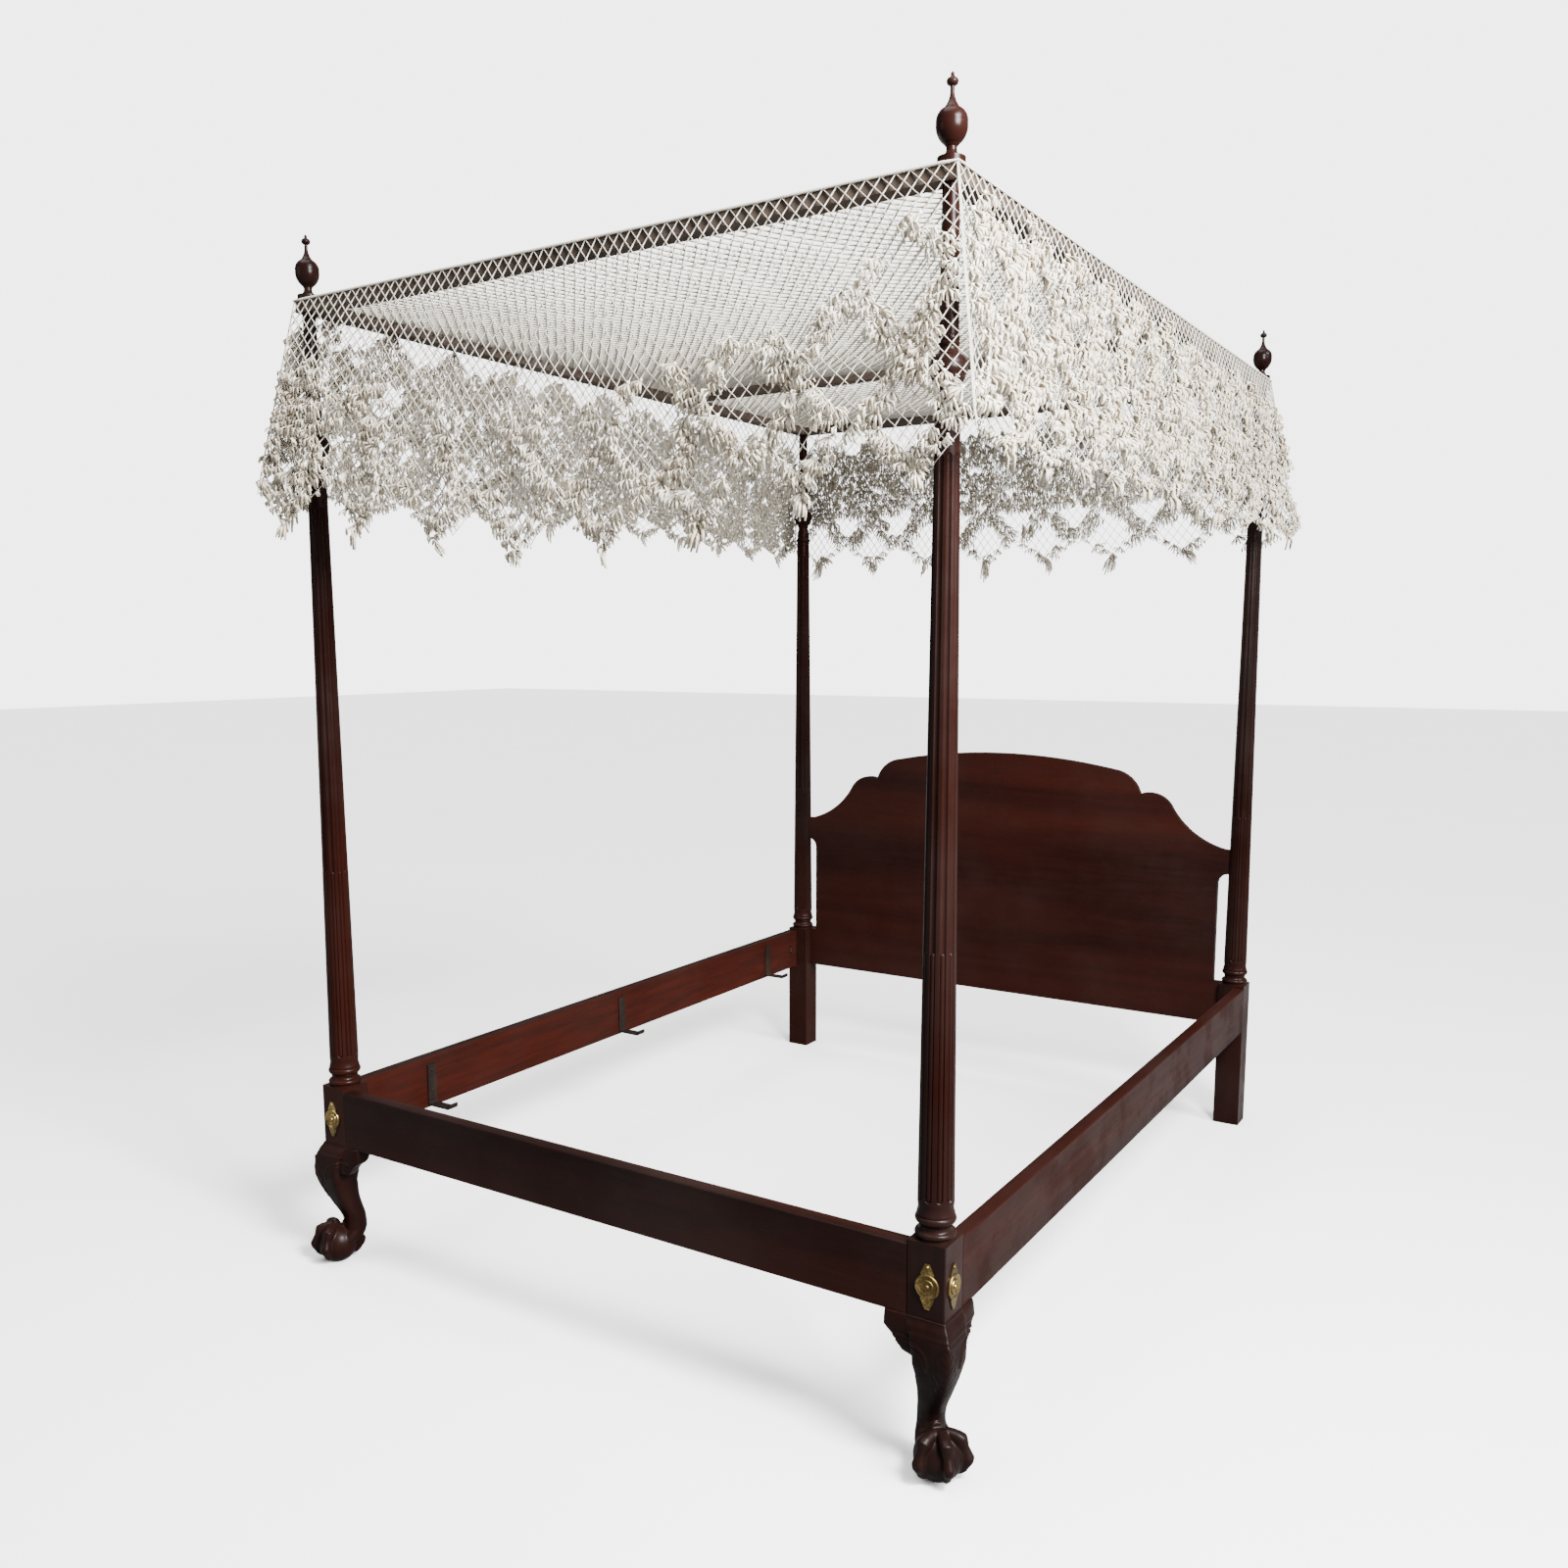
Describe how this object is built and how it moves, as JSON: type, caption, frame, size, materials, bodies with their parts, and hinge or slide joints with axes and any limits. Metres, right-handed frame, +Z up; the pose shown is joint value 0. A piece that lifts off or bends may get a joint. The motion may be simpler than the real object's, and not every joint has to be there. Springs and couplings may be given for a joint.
{
  "type": "four-poster bed",
  "caption": "Four-poster bed frame with fluted posts, arched headboard, claw-and-ball foot legs and a tester frame carrying a knotted net canopy.",
  "frame": {"origin": "on the floor at the middle of the bed", "axes": "+Z up, +Y towards the head, +X to the right of someone standing at the foot"},
  "size_m": [1.7526, 2.3042, 2.3677],
  "materials": {
    "mahogany": "dark reddish-brown mahogany, satin varnish",
    "rail_mahogany": "dark reddish-brown mahogany planks, satin varnish",
    "headboard_mahogany": "dark reddish-brown mahogany board, satin varnish",
    "lath_wood": "plain dark softwood laths, rubbed matt",
    "brass": "aged cast brass with darker hollows",
    "black_iron": "black-painted forged iron, slightly worn",
    "bright_steel": "plain turned steel",
    "cotton": "off-white knotted cotton net, open diamond mesh"
  },
  "bodies": {
    "root": {"foot_post_left": "mahogany", "post_top_foot_left": "mahogany", "foot_post_right": "mahogany", "post_top_foot_right": "mahogany", "head_post_left": "mahogany", "post_top_head_left": "mahogany", "head_post_right": "mahogany", "post_top_head_right": "mahogany", "foot_leg_left": "mahogany", "knee_block_foot_left": "mahogany", "knee_block_side_left": "mahogany", "side_rail_left": "rail_mahogany", "foot_leg_right": "mahogany", "knee_block_foot_right": "mahogany", "knee_block_side_right": "mahogany", "side_rail_right": "rail_mahogany", "foot_rail": "rail_mahogany", "headboard": "headboard_mahogany", "bed_bolts": "bright_steel", "bed_nuts": "bright_steel", "cover_pins": "brass", "hanger_foot_left": "black_iron", "hanger_middle_left": "black_iron", "hanger_head_left": "black_iron", "hanger_foot_right": "black_iron", "hanger_middle_right": "black_iron", "hanger_head_right": "black_iron", "hanger_screws": "black_iron", "tester_pins": "bright_steel"},
    "cover_foot_left": {"bolt_cover_foot_left": "brass"},
    "cover_foot_right": {"bolt_cover_foot_right": "brass"},
    "cover_side_left": {"bolt_cover_side_left": "brass"},
    "cover_side_right": {"bolt_cover_side_right": "brass"},
    "tester": {"tester_lath_left": "lath_wood", "tester_lath_right": "lath_wood", "tester_lath_foot": "lath_wood", "tester_lath_head": "lath_wood", "tester_lath_cross": "lath_wood", "canopy_roof": "cotton", "canopy_valance_foot": "cotton", "canopy_valance_head": "cotton", "canopy_valance_left": "cotton", "canopy_valance_right": "cotton"},
    "finial_foot_left": {"finial_foot_left": "mahogany"},
    "finial_foot_right": {"finial_foot_right": "mahogany"},
    "finial_head_left": {"finial_head_left": "mahogany"},
    "finial_head_right": {"finial_head_right": "mahogany"}
  },
  "joints": [
    {"name": "cover_foot_left_swing", "type": "hinge", "parent": "root", "child": "cover_foot_left", "pos_m": [-0.781, -1.0878, 0.3955], "axis": [0, -1, 0], "range_deg": [-5, 100]},
    {"name": "cover_foot_right_swing", "type": "hinge", "parent": "root", "child": "cover_foot_right", "pos_m": [0.781, -1.0878, 0.3955], "axis": [0, -1, 0], "range_deg": [-100, 5]},
    {"name": "cover_side_left_swing", "type": "hinge", "parent": "root", "child": "cover_side_left", "pos_m": [-0.8148, -1.054, 0.3915], "axis": [-1, 0, 0], "range_deg": [-100, 5]},
    {"name": "cover_side_right_swing", "type": "hinge", "parent": "root", "child": "cover_side_right", "pos_m": [0.8148, -1.054, 0.3915], "axis": [1, 0, 0], "range_deg": [-5, 100]},
    {"name": "tester_lift", "type": "slide", "parent": "root", "child": "tester", "axis": [0, 0, 1], "range_m": [0, 0.08]},
    {"name": "finial_foot_left_lift", "type": "slide", "parent": "tester", "child": "finial_foot_left", "axis": [0, 0, 1], "range_m": [0, 0.055]},
    {"name": "finial_foot_right_lift", "type": "slide", "parent": "tester", "child": "finial_foot_right", "axis": [0, 0, 1], "range_m": [0, 0.055]},
    {"name": "finial_head_left_lift", "type": "slide", "parent": "tester", "child": "finial_head_left", "axis": [0, 0, 1], "range_m": [0, 0.055]},
    {"name": "finial_head_right_lift", "type": "slide", "parent": "tester", "child": "finial_head_right", "axis": [0, 0, 1], "range_m": [0, 0.055]}
  ]
}
